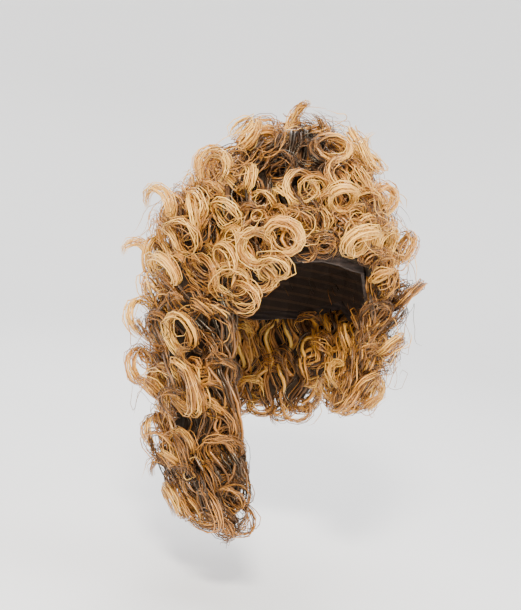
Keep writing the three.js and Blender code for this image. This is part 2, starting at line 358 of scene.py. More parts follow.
def lockTree():
    tree = bpy.data.node_groups.new("hairLocks", "GeometryNodeTree")
    face = tree.interface
    face.new_socket(name="Geometry", in_out="INPUT", socket_type="NodeSocketGeometry")
    for name, kind in [("Ribbons", "Int"), ("Ribbon Width", "Float"), ("Ribbon Flatness", "Float"),
                       ("Strands", "Int"), ("Strand Radius", "Float"), ("Spread", "Float"),
                       ("Frizz", "Float"), ("Seed", "Int"), ("Ribbon Cell", "Int"), ("Strand Cell", "Int"),
                       ("Material", "Material")]:
        face.new_socket(name=name, in_out="INPUT", socket_type="NodeSocket" + kind)
    face.new_socket(name="Geometry", in_out="OUTPUT", socket_type="NodeSocketGeometry")
    given = Wire(tree, tree.nodes.new("NodeGroupInput").outputs[0])
    put = given.put

    def named(name, kind="FLOAT"):
        return put("GeometryNodeInputNamedAttribute", {"data_type": kind}, {"Name": name})

    def stored(geometry, name, value, kind="FLOAT", domain="POINT"):
        return put("GeometryNodeStoreNamedAttribute", {"data_type": kind, "domain": domain},
                   {"Geometry": geometry, "Name": name, "Value": value})

    paths = put("GeometryNodeMeshToCurve", {}, {"Mesh": given})
    along = named("along")
    lot = named("lot", "FLOAT_VECTOR")
    lotParts = put("ShaderNodeSeparateXYZ", {}, {0: lot})
    place = put("GeometryNodeInputPosition")
    layers = []
    for layer, count, first, sides in [(0, "Ribbons", "Ribbon Cell", 4), (1, "Strands", "Strand Cell", 3)]:
        many = put("GeometryNodeDuplicateElements", {"domain": "SPLINE"}, {
            "Geometry": paths, "Amount": given.out(count)})
        draw = put("FunctionNodeRandomValue", {"data_type": "FLOAT_VECTOR"},
                   {0: (0, 0, 0), 1: (1, 1, 1), "Seed": given.out("Seed") + 7 * layer})
        many = stored(many, "lot", draw, "FLOAT_VECTOR", "CURVE")
        number = put("GeometryNodeInputIndex") + given.out(first)
        many = stored(many, "cell", number, "FLOAT", "CURVE")
        # each lock's own place in the bundle, opening out towards its tip
        angle = lotParts.out("X") * (2 * math.pi)
        reach = lotParts.out("Y").maths("POWER", lotParts.out("Y"), lockStyle["clumping"])
        reach = reach * given.out("Spread") * (lockStyle["rootSpread"] + lockStyle["tipSpread"] * along)
        offset = put("ShaderNodeVectorMath", {"operation": "SCALE"},
                     {0: named("outHalf", "FLOAT_VECTOR"), "Scale": angle.maths("COSINE", angle) * reach})
        sideways = put("ShaderNodeVectorMath", {"operation": "SCALE"},
                       {0: named("sideHalf", "FLOAT_VECTOR"), "Scale": angle.maths("SINE", angle) * reach})
        shifted = put("ShaderNodeVectorMath", {"operation": "MULTIPLY_ADD"},
                      {0: lot, 1: [lockStyle["frizzShift"]] * 3, 2: place})
        noise = put("ShaderNodeTexNoise", {}, {
            "Vector": shifted, "Scale": lockStyle["frizzScale"], "Detail": 1}, "Color")
        amount = given.out("Frizz") * (lockStyle["rootFrizz"] + along)
        amount = amount * (1 + lockStyle["strandFrizz"] * layer)
        frizz = put("ShaderNodeVectorMath", {"operation": "SCALE"},
                    {0: noise.vectorMaths("SUBTRACT", noise, (0.5, 0.5, 0.5)), "Scale": amount})
        moved = offset.vectorMaths("ADD", offset.vectorMaths("ADD", offset, sideways), frizz)
        many = put("GeometryNodeSetPosition", {}, {"Geometry": many, "Offset": moved})
        ends = along.maths("MINIMUM", along, 1 - along)
        taper = ends.maths("MINIMUM", ends * lockStyle["taper"] + lockStyle["tip"], 1)
        taper = taper * (lockStyle["leastSize"] + lockStyle["sizeSpan"] * lotParts.out("Z"))
        if layer == 0:
            many = put("GeometryNodeSetCurveNormal", {"mode": "FREE"},
                       {"Curve": many, "Normal": named("outHalf", "FLOAT_VECTOR")})
            size = taper * given.out("Ribbon Width") / 2
        else:
            size = taper * given.out("Strand Radius")
        ring = put("GeometryNodeCurvePrimitiveCircle", {}, {"Resolution": sides, "Radius": 1})
        ring = stored(ring, "around", put("GeometryNodeSplineParameter"))
        if layer == 0:
            flat = put("ShaderNodeCombineXYZ", {}, {"X": given.out("Ribbon Flatness"), "Y": 1, "Z": 1})
            ring = put("GeometryNodeTransform", {}, {"Geometry": ring, "Scale": flat})
        tube = put("GeometryNodeCurveToMesh", {}, {
            "Curve": many, "Profile Curve": ring, "Scale": size, "Fill Caps": True})
        # the width of a ribbon is read alike on both its sides
        around = named("around")
        across = (1 - 2 * around).maths("ABSOLUTE", 1 - 2 * around) if layer == 0 else around
        tube = stored(tube, "across", across)
        layers.append(tube)
    both = put("GeometryNodeJoinGeometry")
    for tube in layers:
        tube.into(both.socket.node.inputs[0])
    # every lock has its own cell in the map that the colours are kept in
    cell = named("cell")
    columns, rows, height = colourMap["columns"], colourMap["rows"], colourMap["height"]
    (leftMargin, lowMargin), (wideShare, highShare) = colourMap["margin"], colourMap["share"]
    column = cell.maths("MODULO", cell, columns)
    row = cell.maths("FLOOR", (cell + 0.5) / columns)
    spot = put("ShaderNodeCombineXYZ", {}, {
        "X": (column + leftMargin + wideShare * named("across")) / columns,
        "Y": (row + lowMargin + highShare * along) * height / rows})
    both = stored(both, "OFBake", spot, "FLOAT2", "CORNER")
    both = put("GeometryNodeSetShadeSmooth", {}, {"Geometry": both, "Shade Smooth": True})
    both = put("GeometryNodeRealizeInstances", {}, {"Geometry": both})
    both = put("GeometryNodeSetMaterial", {}, {"Geometry": both, "Material": given.out("Material")})
    end = tree.nodes.new("NodeGroupOutput")
    both.into(end.inputs[0])
    return tree


def pathObject(name, paths):
    # the paths as one mesh of edges, with what the tree reads kept on its points
    places, edges = [], []
    for path in paths:
        edges += [(len(places) + i, len(places) + i + 1) for i in range(len(path) - 1)]
        places += path
    mesh = bpy.data.meshes.new(name)
    mesh.from_pydata([p[0] for p in places], edges, [])
    for slot, key, kind in [(1, "outHalf", "FLOAT_VECTOR"), (2, "sideHalf", "FLOAT_VECTOR"),
                            (3, "along", "FLOAT"), (4, "light", "FLOAT")]:
        held = mesh.attributes.new(key, kind, "POINT")
        for item, p in zip(held.data, places):
            if kind == "FLOAT":
                item.value = p[slot]
            else:
                item.vector = p[slot]
    thing = bpy.data.objects.new(name, mesh)
    bpy.context.scene.collection.objects.link(thing)
    return thing


def grownHair(name, paths, settings, tree, material):
    # the tree's result on these paths, as a plain object
    guide = pathObject(name + "Paths", paths)
    modifier = guide.modifiers.new("locks", "NODES")
    modifier.node_group = tree
    sockets = {item.name: item.identifier for item in tree.interface.items_tree if item.in_out == "INPUT"}
    for key, value in settings.items():
        modifier[sockets[key]] = value
    modifier[sockets["Material"]] = material
    graph = bpy.context.evaluated_depsgraph_get()
    mesh = bpy.data.meshes.new_from_object(guide.evaluated_get(graph))
    bpy.data.objects.remove(guide)
    thing = bpy.data.objects.new(name, mesh)
    bpy.context.scene.collection.objects.link(thing)
    return thing


def joinedTogether(name, things):
    # one object of them all, under the first one's new name
    bpy.ops.object.select_all(action="DESELECT")
    for thing in things:
        thing.select_set(True)
    bpy.context.view_layer.objects.active = things[0]
    bpy.ops.object.join()
    things[0].name = name
    return things[0]


# Materials

def newMaterial(name, settings):
    material = bpy.data.materials.new(name)
    material.use_nodes = True
    shader = next(n for n in material.node_tree.nodes if n.type == "BSDF_PRINCIPLED")
    for key, value in settings.items():
        shader.inputs[key].default_value = value
    return material, Wire(material.node_tree), shader


hairColours = {
    "ramp": [
        (0.0, (0.014, 0.006, 0.003)), (0.2, (0.045, 0.019, 0.008)), (0.4, (0.150, 0.060, 0.018)),
        (0.6, (0.40, 0.155, 0.027)), (0.8, (0.70, 0.31, 0.048)), (1.0, (1.0, 0.57, 0.115)),
    ],
    "rootTone": 0.2, "growth": 2, "lotTone": 0.7, "streakTone": 0.6, "patchTone": 0.7, "patchScale": 16,
    "streaks": 4, "streakLength": 2.5, "lotShift": 60, "ripple": 14, "rippleScale": 45,
    "parting": (-0.026, -0.052, 0.050), "partingFrom": 0.022, "partingTo": 0.055, "partingTone": 0.38,
    "warm": (0.68, 0.27, 0.05), "warmth": 0.6, "warmScale": 21, "warmFrom": 0.53, "warmTo": 0.68,
    "roughness": 0.3, "streakRough": 0.3, "mattRough": 0.5, "gloss": 0.4,
    "specular": 0.6, "specularTint": (1.0, 0.86, 0.62, 1), "coatRough": 0.18,
    "bump": 0.6, "bumpDepth": 0.0008,
}


def hairMaterial():
    given = hairColours
    material, start, shader = newMaterial("curlyHair", {
        "Specular IOR Level": given["specular"], "Specular Tint": given["specularTint"],
        "Coat Roughness": given["coatRough"]})

    def read(name, output="Fac"):
        return start.put("ShaderNodeAttribute", {"attribute_name": name}, {}, output)

    place = start.put("ShaderNodeTexCoord", {}, {}, "Object")

    def noise(scale, detail):
        return start.put("ShaderNodeTexNoise", {}, {"Vector": place, "Scale": scale, "Detail": detail}, "Fac")

    along, across, light, matt = read("along"), read("across"), read("light"), read("matt")
    lot = start.put("ShaderNodeSeparateXYZ", {}, {0: read("lot", "Vector")})
    patches = noise(given["patchScale"], 2)
    ripple = noise(given["rippleScale"], 1)
    shift = given["lotShift"]
    spot = start.put("ShaderNodeCombineXYZ", {}, {
        "X": across * given["streaks"] + lot.out("X") * shift + ripple * given["ripple"] * matt,
        "Y": along * given["streakLength"] + lot.out("Y") * shift, "Z": lot.out("Z") * shift})
    streaks = start.put("ShaderNodeTexNoise", {}, {"Vector": spot, "Scale": 1, "Detail": 3}, "Fac")
    # dark at the root, lighter along the lock, with its own tone and streaks
    grown = along.maths("MINIMUM", along * given["growth"], 1)
    tone = light * (given["rootTone"] + (1 - given["rootTone"]) * grown)
    tone = tone + (lot.out("Z") - 0.5) * given["lotTone"]
    tone = tone + (streaks - 0.5) * given["streakTone"] + (patches - 0.5) * given["patchTone"]
    # dark roots show at the parting on top
    parting = place.vectorMaths("DISTANCE", place, given["parting"], output="Value")
    roots = start.put("ShaderNodeMapRange", {"interpolation_type": "SMOOTHSTEP"}, {
        "Value": parting, "From Min": given["partingFrom"], "From Max": given["partingTo"],
        "To Min": 1.0, "To Max": 0.0})
    tone = tone - given["partingTone"] * roots
    colour = start.put("ShaderNodeValToRGB", {"stops": given["ramp"]}, {"Fac": tone})
    # a few locks are warmer
    warm = start.put("ShaderNodeMapRange", {}, {
        "Value": noise(given["warmScale"], 1), "From Min": given["warmFrom"], "From Max": given["warmTo"]})
    colour = start.put("ShaderNodeMix", {"data_type": "RGBA"}, {
        0: warm * given["warmth"] * tone.maths("MINIMUM", tone, 1), 6: colour, 7: (*given["warm"], 1)}, 2)
    colour.into(shader.inputs["Base Color"])
    rough = given["roughness"] + (streaks - 0.5) * given["streakRough"] + given["mattRough"] * matt
    rough.into(shader.inputs["Roughness"])
    coat = tone * (1 - matt) * given["gloss"]
    coat.into(shader.inputs["Coat Weight"])
    bump = start.put("ShaderNodeBump", {}, {
        "Height": streaks, "Strength": given["bump"], "Distance": given["bumpDepth"]})
    bump.into(shader.inputs["Normal"])
    return material


# The hair's base: the dark mass under the locks, dark both as the wig's dark under-hair and as painted shade,
# so that it reads as the deep shade between the locks

hairBase = {
    "columns": 28, "rows": 24, "sunk": 0.012, "ragged": (0.86, 0.96), "capGap": 0.001, "hangingGap": 0.009,
    "opening": 4, "least": 0.002, "uneven": 0.006, "light": 0.21, "rootAlong": 0.5, "streakWidth": 0.004,
}


def baseShell(name, section, material):
    # a closed shell with an outer and an inner layer of corners; the rows end ragged where it hangs
    columns, rows, hanging = hairBase["columns"], hairBase["rows"], "foot" in section
    first, last = section["bearings"]
    corners, faces, spots = [], [], []

    def layer(outer):
        for j in range(rows + 1):
            for i in range(columns + 1):
                ragged = mix(*hairBase["ragged"], shuffled(i * 3.1)) if hanging else 1
                across, down = i / columns, j / rows * ragged
                opened = hairBase["hangingGap"] * ease(down * hairBase["opening"])
                inner = wigSizes["capWall"] + (opened if hanging else hairBase["capGap"])
                inside = 0 < i < columns and 0 < j
                uneven = hairBase["uneven"] * (shuffled(i * 1.3 + j * 7.7) - 0.5) if inside else 0
                full = hairDepth(section, across, down) - hairBase["sunk"] + uneven
                depth = max(full, inner + hairBase["least"]) if outer else inner
                corners.append(inSection(section, across, down, depth))
                spots.append((across, down))

    layer(True)
    layer(False)
    stride = columns + 1
    below = stride * (rows + 1)
    for j in range(rows):
        for i in range(columns):
            a = j * stride + i
            quad = (a, a + stride, a + stride + 1, a + 1)
            faces.append(quad)
            faces.append(tuple(c + below for c in reversed(quad)))
    for i in range(columns):
        a = rows * stride + i
        faces.append((a, a + below, a + below + 1, a + 1))
        faces.append((i + 1, i + 1 + below, i + below, i))
    if last - first < 360:
        for j in range(rows):
            a = j * stride
            faces.append((a + stride, a, a + below, a + below + stride))
            b = a + columns
            faces.append((b, b + stride, b + below + stride, b + below))
    mesh = bpy.data.meshes.new(name)
    mesh.from_pydata(corners, [], faces)
    layerMap = mesh.uv_layers.new(name="OFBake")
    for loop in mesh.loops:
        across, down = spots[loop.vertex_index]
        layerMap.data[loop.index].uv = (across, colourMap["base"][0] + colourMap["base"][1] * down)
    streaks = sectionWidth(section) / hairBase["streakWidth"]
    # painted shade: the base's low light (0.21) is partly the wig's dark under-hair and partly the deep shade
    # between the locks painted into its colour
    for key in ("along", "across", "light", "matt"):
        held = mesh.attributes.new(key, "FLOAT", "POINT")
        for item, (across, down) in zip(held.data, spots):
            item.value = {"along": hairBase["rootAlong"] + down, "across": across * streaks,
                          "light": hairBase["light"], "matt": 1}[key]
    mesh.materials.append(material)
    thing = bpy.data.objects.new(name, mesh)
    bpy.context.scene.collection.objects.link(thing)
    worked = bmesh.new()
    worked.from_mesh(mesh)
    bmesh.ops.remove_doubles(worked, verts=worked.verts, dist=0.00001)
    bmesh.ops.recalc_face_normals(worked, faces=worked.faces)
    worked.to_mesh(mesh)
    worked.free()
    for face in mesh.polygons:
        face.use_smooth = True
    return thing


# A section of hair

strandKinds = {
    "ringlets": {"Ribbons": 6, "Ribbon Width": 0.0014, "Ribbon Flatness": 0.55, "Strands": 20,
                 "Strand Radius": 0.00046, "Spread": 1.05, "Frizz": 0.003},
    "fillers": {"Ribbons": 4, "Ribbon Width": 0.0013, "Ribbon Flatness": 0.6, "Strands": 9,
                "Strand Radius": 0.00044, "Spread": 1.2, "Frizz": 0.005},
    "waves": {"Ribbons": 2, "Ribbon Width": 0.0036, "Ribbon Flatness": 0.3, "Strands": 3,
              "Strand Radius": 0.00034, "Spread": 1.5, "Frizz": 0.006},
    "strays": {"Ribbons": 0, "Ribbon Width": 0.001, "Ribbon Flatness": 1.0, "Strands": 1,
               "Strand Radius": 0.00036, "Spread": 1.5, "Frizz": 0.003},
}


# A lock's variations are drawn from its own number: the first of its kind, and the step between sections
lockNumbers = {
    "ringlets": (0, 40), "fillers": (1000, 97), "foot": (1050, 97), "edge": (1060, 97),
    "overhang": (1080, 97), "inner": (1130, 97), "spots": (1150, 97),
    "waves": (3000, 100), "edgeWaves": (3070, 100), "strays": (6000, 150),
}
fillerCurls = {
    "scatter": 0.5, "rowShift": 0.25, "rowScatter": 0.7, "size": (0.7, 1.0), "stand": (0.25, 0.75),
    "gold": (0.22, 0.97), "turned": (0.5, 1.5), "crownRows": 0.7, "fewest": 3,
}
overhangCurls = {"size": 0.95, "stand": 0.4}
footCurls = {"down": (0.93, 0.99), "size": 0.85, "stand": 0.4, "turned": (-0.8, 0.8)}
innerCurls = {"columns": 3, "place": (0.1, 0.6), "down": (0.3, 0.98), "size": 0.8, "stand": 0.3, "gold": 0.75}
spotCurls = {"size": 1, "stand": 0.4}
edgeCurls = {
    "middle": 0.5, "away": (0.36, 0.48), "down": (0.6, 0.9), "size": (0.7, 0.95), "stand": 0.5,
    "turned": (0.7, 1.5), "gold": 0.7,
}
waveSpans = {
    "capStart": 0.1, "hangingStart": 0.35, "outside": (1, 1.1), "inside": (0, -0.1), "insideStart": 0.08,
    "insideEnd": (0.86, 1.06), "sweepSlope": 2.6, "sweepStart": 0.6,
    "edges": (-0.03, 1.03), "edgeStart": (0, 0.1), "edgeEnd": (0.85, 1.05),
}


def ownNumber(kind, number, i):
    first, step = lockNumbers[kind]
    return first + number * step + i


def ringletPaths(section, number):
    # the part's own ringlets, on the same lines as its solid ones
    paths = []
    for row, (down, count, *within) in enumerate(section["rings"]):
        for i in range(count):
            own = ownNumber("ringlets", number, row * 10 + i)
            along = (i + 0.5 + wigSizes["rowScatter"] * (shuffled(own + 0.4) - 0.5)) / count
            across = mix(*(within or (0, 1)), along)
            paths.append(curlPath(section, across, down, own, gold=lockSizes["ringletGold"],
                                  steps=lockSizes["ringletSteps"]))
    return paths


def betweenPaths(section, number):
    # smaller, flatter curls that fill the room between the ringlets
    rows, columns = section["fill"]
    paths = []
    for row in range(rows):
        count = columns
        if section["fall"][0] == 0:
            count = max(fillerCurls["fewest"], round(columns * (row + fillerCurls["crownRows"]) / rows))
        for i in range(count):
            own = ownNumber("fillers", number, row * 13 + i)
            scatter = fillerCurls["scatter"] * (shuffled(own + 0.4) - 0.5)
            across = (i + 0.5 + fillerCurls["rowShift"] * (row % 2 * 2 - 1) + scatter) / count
            down = (row + 0.5 + fillerCurls["rowScatter"] * (shuffled(own + 0.5) - 0.5)) / rows
            size = mix(*fillerCurls["size"], shuffled(own + 0.9))
            stand = mix(*fillerCurls["stand"], shuffled(own + 0.2))
            tilt = section.get("turned", 0) * mix(*fillerCurls["turned"], shuffled(own + 0.7))
            gold = mix(*fillerCurls["gold"], stand)
            paths.append(curlPath(section, across, down, own, size, stand, tilt, gold=gold))
    return paths


def overhangPaths(section, number):
    # curls over the seams between sections, at chosen places
    return [
        curlPath(section, across, down, ownNumber("overhang", number, i), overhangCurls["size"],
                 stand[0] if stand else overhangCurls["stand"])
        for i, (across, down, *stand) in enumerate(section.get("overhang", []))
    ]


def footPaths(section, number):
    # curls that end a hanging section
    paths, count = [], section.get("footCurls", 0)
    for i in range(count):
        own = ownNumber("foot", number, i)
        tilt = mix(*footCurls["turned"], shuffled(own + 0.7))
        down = mix(*footCurls["down"], shuffled(own))
        across, size, stand = (i + 0.5) / count, footCurls["size"], footCurls["stand"]
        paths.append(curlPath(section, across, down, own, size, stand, tilt))
    return paths


def innerPaths(section, number):
    # curls on the inside of a hanging section, some of them at chosen places
    paths, count = [], section.get("innerCurls", 0)
    for i, (across, down, tilt) in enumerate(section.get("innerSpots", [])):
        own, size, stand = ownNumber("spots", number, i), spotCurls["size"], spotCurls["stand"]
        paths.append(curlPath(section, across, down, own, size, stand, tilt, inward=True))
    for i in range(count):
        own, columns = ownNumber("inner", number, i), innerCurls["columns"]
        across = (i % columns + mix(*innerCurls["place"], shuffled(own + 0.4))) / columns
        down = mix(*innerCurls["down"], (i + 0.5) / count)
        paths.append(curlPath(section, across, down, own, innerCurls["size"], innerCurls["stand"],
                              gold=innerCurls["gold"], inward=True))
    return paths


def edgePaths(section, number):
    # curls that lean out over the free edge of a hanging section
    paths, count = [], section.get("edgeCurls", 0)
    for i in range(count):
        own = ownNumber("edge", number, i)
        way = 1 if section["free"] == "end" else -1
        across = edgeCurls["middle"] + way * mix(*edgeCurls["away"], shuffled(own + 0.4))
        down = (i + mix(*edgeCurls["down"], shuffled(own))) / count
        size = mix(*edgeCurls["size"], shuffled(own + 0.9))
        tilt = way * mix(*edgeCurls["turned"], shuffled(own + 0.7))
        paths.append(curlPath(section, across, down, own, size, edgeCurls["stand"], tilt,
                              gold=edgeCurls["gold"]))
    return paths


def fillerPaths(section, number):
    makers = [betweenPaths, overhangPaths, footPaths, innerPaths, edgePaths]
    return [path for maker in makers for path in maker(section, number)]


def wavePaths(section, number):
    # wavy locks that cover the base, on both its sides where it hangs free
    paths, hanging = [], "foot" in section
    for i in range(section["waves"]):
        own = ownNumber("waves", number, i)
        across = i / (section["waves"] - 1)
        first = waveSpans["hangingStart" if hanging else "capStart"] * shuffled(own + 0.6) * (i % 3 > 0)
        swept = ease(waveSpans["sweepSlope"] * across - waveSpans["sweepStart"])
        last = 1 + mix(*section.get("sweep", (0, 0)), swept)
        level = mix(*waveSpans["outside"], shuffled(own + 0.35))
        paths.append(wavePath(section, across, (first, last), level, own))
        if hanging:
            foot = mix(*waveSpans["insideEnd"], shuffled(own + 0.27))
            level = mix(*waveSpans["inside"], shuffled(own))
            paths.append(wavePath(section, across, (waveSpans["insideStart"], foot), level, own + 0.45))
    for edge, count in section.get("edgeWaves", {}).items():
        for i in range(count):
            own = ownNumber("edgeWaves", number, 10 * edge + i)
            start = mix(*waveSpans["edgeStart"], shuffled(own))
            end = mix(*waveSpans["edgeEnd"], shuffled(own + 0.8))
            across = mix(*waveSpans["edges"], edge)
            paths.append(wavePath(section, across, (start, end), (i + 0.5) / count, own))
    return paths


def strayPaths(section, number):
    return [
        strayPath(section, shuffled(own + 0.11), shuffled(own + 0.61), own)
        for own in (ownNumber("strays", number, i) for i in range(section["strays"]))
    ]


def hairSection(name, node, number, section):
    things = [baseShell(name + "Base", section, hair)]
    makers = {"ringlets": ringletPaths, "fillers": fillerPaths, "waves": wavePaths, "strays": strayPaths}
    cell = 0
    for seed, (kind, maker) in enumerate(makers.items()):
        paths, settings = maker(section, number), strandKinds[kind]
        after = cell + len(paths) * settings["Ribbons"]
        own = {"Seed": number * 10 + seed, "Ribbon Cell": cell, "Strand Cell": after}
        things.append(grownHair(name + kind.capitalize(), paths, {**settings, **own}, locks, hair))
        cell = after + len(paths) * settings["Strands"]
    piece = joinedTogether(name, things)
    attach(piece, "root")
    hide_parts(node)
    triangles = sum(len(face.vertices) - 2 for face in piece.data.polygons)
    print("grown", name, triangles, "triangles", cell, "cells")
    return triangles


print("grow the hair")
locks = lockTree()
hair = hairMaterial()
triangles = 0
topCurls = {
    "bearings": (-180, 180), "fall": (0, 36), "depth": (1, 0.73), "lumps": (6, 2),
    "curl": 1, "drop": -0.2,
    "rings": [(0.04, 1), (0.62, 5)], "fill": (4, 13),
    "overhang": [(0.17, 0.5, 1.2), (0.22, 0.65, 1.2), (0.68, 0.5, 1.3), (0.72, 0.65, 1.2), (0.65, 0.7, 1.2)],
    "waves": 36, "strays": 56,
}
triangles += hairSection("topCurls", "top_curls", 0, topCurls)

fringeCurls = {
    "bearings": (-80, 26), "fall": (36, 74), "depth": (0.67, 0.27), "lumps": (4, 2),
    "curl": 0.88, "drop": 0.6,
    "rings": [(0.1, 3), (0.8, 3), (0.98, 2, 0.1, 0.44)], "fill": (3, 7), "tones": (1.0, 1.0, 1.25, 1.1),
    "waves": 24, "strays": 42,
    "overhang": [(0.2, 1.2), (0.32, 1.3), (0.44, 1.15), (0.27, 1.5)], "sweep": (0.4, 0.02),
}
triangles += hairSection("fringeCurls", "fringe_curls", 1, fringeCurls)

leftTempleCurls = {
    "bearings": (26, 82), "fall": (36, 74), "depth": (0.63, 0.37), "lumps": (2, 2),
    "curl": 0.88, "drop": 0.6,
    "rings": [(0.1, 1), (0.7, 2)], "fill": (3, 4),
    "waves": 14, "strays": 28,
    "sweep": (0.12, 0.35), "overhang": [(0.35, 1.1), (0.75, 1.25)],
}
triangles += hairSection("leftTempleCurls", "left_temple_curls", 2, leftTempleCurls)

rightUpperCurls = {
    "bearings": (-136, -80), "fall": (36, 74), "depth": (0.7, 0.77), "lumps": (2, 2),
    "curl": 1, "drop": 0.5,
    "rings": [(0.12, 2), (0.7, 2)], "fill": (3, 5),
    "waves": 16, "strays": 34,
    "overhang": [(0.99, 0.3), (1.0, 0.62), (0.97, 0.9), (0.15, 1.0), (0.45, 1.04), (0.75, 1.0)],
    "edgeWaves": {1: 7},
}
triangles += hairSection("rightUpperCurls", "right_upper_curls", 3, rightUpperCurls)

leftUpperCurls = {
    "bearings": (82, 136), "fall": (36, 74), "depth": (0.63, 0.53), "lumps": (2, 2),
    "curl": 0.94, "drop": 0.5,
    "rings": [(0.12, 1), (0.7, 2)], "fill": (3, 4),
    "waves": 14, "strays": 28,
    "overhang": [(0.15, 1.0), (0.5, 1.04), (0.85, 1.0)],
}
triangles += hairSection("leftUpperCurls", "left_upper_curls", 4, leftUpperCurls)

backUpperCurls = {
    "bearings": (136, 224), "fall": (36, 74), "depth": (0.7, 0.63), "lumps": (4, 2),
    "curl": 1, "drop": 0.6,
    "rings": [(0.12, 2), (0.7, 3)], "fill": (3, 7),
    "waves": 24, "strays": 34,
    "overhang": [(0.1, 1.0), (0.3, 1.04), (0.5, 1.0), (0.7, 1.03), (0.9, 1.0)],
}
triangles += hairSection("backUpperCurls", "back_upper_curls", 5, backUpperCurls)

rightFall = {
    "bearings": (-132, -62), "fall": (74, 90), "depth": (0.8, 0.83), "lumps": (3, 5),
    "curl": 1, "drop": 0.7,
    "foot": 1, "side": 0.1, "front": -0.09, "free": "end",
    "rings": [(0.06, 2), (0.27, 2), (0.48, 3), (0.7, 2), (0.92, 3)],
    "fill": (8, 5), "turned": 0.9, "edgeCurls": 11, "footCurls": 4, "innerCurls": 12,
    "innerSpots": [(0.01, 0.82, -1.5), (0.08, 0.82, 0)],
    "waves": 16, "edgeWaves": {1: 6, 0: 6}, "strays": 24, "tones": (1.3, 0.62, 0.95, 0.44),
}
triangles += hairSection("rightFall", "right_fall", 6, rightFall)

leftFall = {
    "bearings": (60, 128), "fall": (74, 90), "depth": (0.5, 0.67), "lumps": (3, 3),
    "curl": 0.94, "drop": 0.7,
    "foot": 0.6, "side": -0.06, "front": -0.04, "free": "start",
    "rings": [(0.1, 2), (0.48, 2), (0.88, 3)], "fill": (5, 5),
    "turned": -0.7, "edgeCurls": 7, "footCurls": 5, "innerCurls": 5,
    "waves": 14, "edgeWaves": {0: 6, 1: 2}, "strays": 56, "tones": (0.5, 1.02, 0.85, 0.95),
}
triangles += hairSection("leftFall", "left_fall", 7, leftFall)

backRightFall = {
    "bearings": (180, 228), "fall": (74, 90), "depth": (0.63, 0.5), "lumps": (2, 3),
    "curl": 1, "drop": 0.8,
    "foot": 0.8, "side": 0, "front": 0,
    "rings": [(0.14, 2), (0.5, 2), (0.88, 2)], "fill": (7, 4),
    "waves": 12, "innerCurls": 3, "footCurls": 4, "edgeWaves": {0: 2, 1: 2}, "strays": 42,
}
triangles += hairSection("backRightFall", "back_right_fall", 8, backRightFall)

backLeftFall = {
    "bearings": (128, 180), "fall": (74, 90), "depth": (0.63, 0.5), "lumps": (2, 3),
    "curl": 1, "drop": 0.8,
    "foot": 0.72, "side": 0, "front": 0,
    "rings": [(0.16, 2), (0.52, 2), (0.88, 2)], "fill": (6, 4),
    "waves": 12, "innerCurls": 3, "footCurls": 4, "edgeWaves": {0: 2, 1: 2}, "strays": 42,
}
triangles += hairSection("backLeftFall", "back_left_fall", 9, backLeftFall)
print("hair in all", triangles, "triangles")


# The stretch cap and its edge band keep their CAD shapes

capNet = {
    "rows": 110, "rowFrom": 0.55, "mesh": 900,
    "net": (0.030, 0.017, 0.010, 1), "weft": (0.055, 0.030, 0.016, 1),
    "roughness": 0.75, "holeRough": 0.2, "bump": 0.7, "bumpDepth": 0.0006,
}
edgeBand = {
    "colour": (0.022, 0.014, 0.010, 1), "worn": (0.060, 0.040, 0.030, 1), "ribs": 60, "wear": 90,
    "roughness": 0.65, "wearRough": 0.25, "bump": 0.6, "bumpDepth": 0.0005,
}


def finished(material, start, shader, given, share, colours, rough, height):
    # two colours mixed, roughness and bump, all on the shader
    colour = start.put("ShaderNodeMix", {"data_type": "RGBA"}, {0: share, 6: colours[0], 7: colours[1]}, 2)
    bump = start.put("ShaderNodeBump", {}, {
        "Height": height, "Strength": given["bump"], "Distance": given["bumpDepth"]})
    for wire, name in [(colour, "Base Color"), (rough, "Roughness"), (bump, "Normal")]:
        wire.into(shader.inputs[name])
    return material


def netMaterial():
    material, start, shader = newMaterial("stretchNet", {"Specular IOR Level": 0.3})
    place = start.put("ShaderNodeTexCoord", {}, {}, "Object")
    height = start.put("ShaderNodeSeparateXYZ", {}, {0: place}).out("Z")
    rows = start.put("ShaderNodeMath", {"operation": "SINE"}, {0: height * (2 * math.pi * capNet["rows"])})
    weft = rows.maths("GREATER_THAN", rows, capNet["rowFrom"])
    holes = start.put("ShaderNodeTexVoronoi", {"feature": "DISTANCE_TO_EDGE"}, {
        "Vector": place, "Scale": capNet["mesh"]})
    rough = capNet["roughness"] + capNet["holeRough"] * holes
    colours = capNet["net"], capNet["weft"]
    return finished(material, start, shader, capNet, weft, colours, rough, weft + holes)


def bandMaterial():
    material, start, shader = newMaterial("elasticTape", {"Specular IOR Level": 0.35})
    place = start.put("ShaderNodeTexCoord", {}, {}, "Object")
    ribs = start.put("ShaderNodeTexWave", {"wave_type": "BANDS", "bands_direction": "Z"}, {
        "Vector": place, "Scale": edgeBand["ribs"], "Distortion": 1.5, "Detail": 2, "Detail Scale": 8}, "Fac")
    wear = start.put("ShaderNodeTexNoise", {}, {
        "Vector": place, "Scale": edgeBand["wear"], "Detail": 3}, "Fac")
    rough = edgeBand["roughness"] + edgeBand["wearRough"] * wear
    colours = edgeBand["colour"], edgeBand["worn"]
    return finished(material, start, shader, edgeBand, ribs * wear, colours, rough, ribs)


print("finish the cap and its band")
for node, material in [("cap_net", netMaterial()), ("edge_band", bandMaterial())]:
    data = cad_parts[node].data
    data.materials.clear()
    data.materials.append(material)


# Floor, lights and camera

